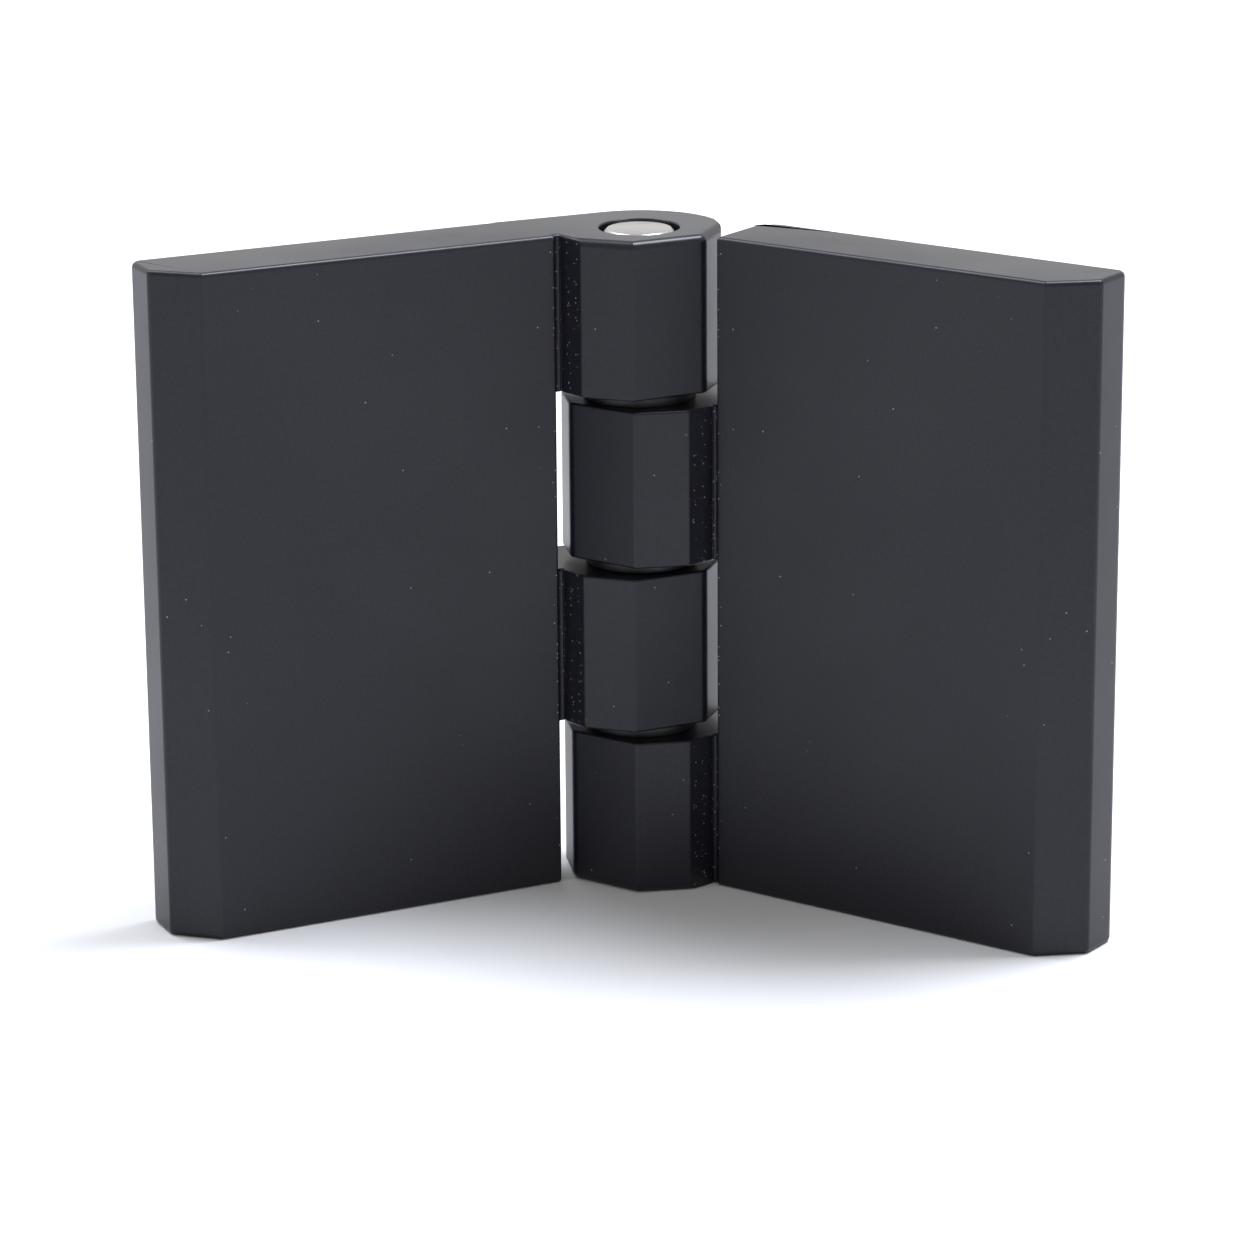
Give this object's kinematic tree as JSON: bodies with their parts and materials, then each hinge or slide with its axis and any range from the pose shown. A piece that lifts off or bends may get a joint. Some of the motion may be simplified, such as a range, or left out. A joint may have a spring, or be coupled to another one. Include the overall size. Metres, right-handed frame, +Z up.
{
  "type": "door hinge",
  "caption": "Rear-fixed die-cast door hinge: two thick plain leaves on interleaved faceted knuckles round a steel pin, with threaded studs behind.",
  "frame": {"origin": "midway between the frame leaf's two studs, on its mounting face", "axes": "+Z up along the pin, +Y out of the frame leaf's mounting face (the plain front looks towards -Y), +X from the frame leaf towards the pin"},
  "size_m": [0.0756, 0.058, 0.06],
  "materials": {
    "black_powder_coat": "black powder coat on zinc die casting, semi-matt with a fine grain",
    "pin_steel": "ground bright steel",
    "black_acetal": "black acetal, matt",
    "plated_steel": "bright zinc plate on rolled thread"
  },
  "bodies": {
    "frame_side": {"frame_leaf": "black_powder_coat", "frame_stud_upper": "plated_steel", "frame_stud_lower": "plated_steel"},
    "door_side": {"door_leaf": "black_powder_coat", "hinge_pin": "pin_steel", "spacer_washer_top": "black_acetal", "spacer_washer_middle": "black_acetal", "spacer_washer_bottom": "black_acetal", "door_stud_upper": "plated_steel", "door_stud_lower": "plated_steel"}
  },
  "joints": [
    {"name": "door_swing", "type": "hinge", "parent": "frame_side", "child": "door_side", "pos_m": [0.025, -0.008, 0], "axis": [0, 0, 1], "range_deg": [-117, 149.5]}
  ]
}
